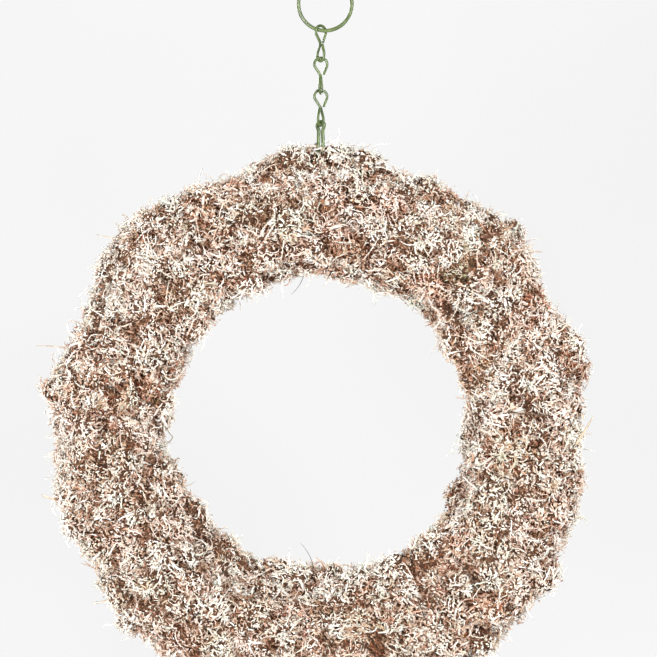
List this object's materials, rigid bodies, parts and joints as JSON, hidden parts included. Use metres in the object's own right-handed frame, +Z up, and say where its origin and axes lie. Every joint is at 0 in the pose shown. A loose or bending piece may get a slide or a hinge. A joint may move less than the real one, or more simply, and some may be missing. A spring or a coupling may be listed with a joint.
{
  "type": "moss-covered wreath frame",
  "caption": "Round wire wreath frame dressed all over with dried sphagnum moss, hung by a short chain of twisted wire links from a small ring.",
  "frame": {"origin": "the hook seat: the inner top of the hanging ring, where it rests on a wall hook", "axes": "+Z up, +Y into the wall behind the wreath, +X to the right seen from the front"},
  "size_m": [0.333, 0.062, 0.4399],
  "materials": {
    "stem_wire": "satin",
    "chain_wire": "satin",
    "frame_wire": "satin",
    "binding_wire": "matte",
    "moss": "matte"
  },
  "bodies": {
    "hanging_ring": {"hanging_ring": "stem_wire"},
    "link_upper": {"chain_link_upper": "chain_wire"},
    "link_middle": {"chain_link_middle": "chain_wire"},
    "link_lower": {"chain_link_lower": "chain_wire"},
    "wreath": {"hanger_wire": "stem_wire", "outer_base_ring": "frame_wire", "inner_base_ring": "frame_wire", "outer_top_ring": "frame_wire", "inner_top_ring": "frame_wire", "cross_wire_01": "frame_wire", "cross_wire_02": "frame_wire", "cross_wire_03": "frame_wire", "cross_wire_04": "frame_wire", "cross_wire_05": "frame_wire", "cross_wire_06": "frame_wire", "cross_wire_07": "frame_wire", "cross_wire_08": "frame_wire", "moss_pad_01": "moss", "moss_pad_02": "moss", "moss_pad_03": "moss", "moss_pad_04": "moss", "moss_pad_05": "moss", "moss_pad_06": "moss", "moss_pad_07": "moss", "moss_pad_08": "moss", "moss_pad_09": "moss", "moss_pad_10": "moss", "moss_pad_11": "moss", "moss_pad_12": "moss", "moss_pad_13": "moss", "moss_pad_14": "moss", "moss_pad_15": "moss", "moss_pad_16": "moss", "binding_wire": "binding_wire"}
  },
  "joints": [
    {"name": "ring_swing", "type": "hinge", "parent": "hanging_ring", "child": "link_upper", "pos_m": [-0.0027, 0, -0.03102], "axis": [0.986, 0, -0.1667], "range_deg": [-32, 40]},
    {"name": "upper_link_swing", "type": "hinge", "parent": "link_upper", "child": "link_middle", "pos_m": [-0.0027, 0, -0.04972], "axis": [-0.5299, 0.848, 0], "range_deg": [-35, 35]},
    {"name": "middle_link_swing", "type": "hinge", "parent": "link_middle", "child": "link_lower", "pos_m": [-0.0027, 0, -0.06927], "axis": [0.1736, 0.9848, 0], "range_deg": [-35, 35]},
    {"name": "wreath_swing", "type": "hinge", "parent": "link_lower", "child": "wreath", "pos_m": [-0.0027, 0, -0.08882], "axis": [0.4226, 0.9063, 0], "range_deg": [-40, 40]}
  ]
}
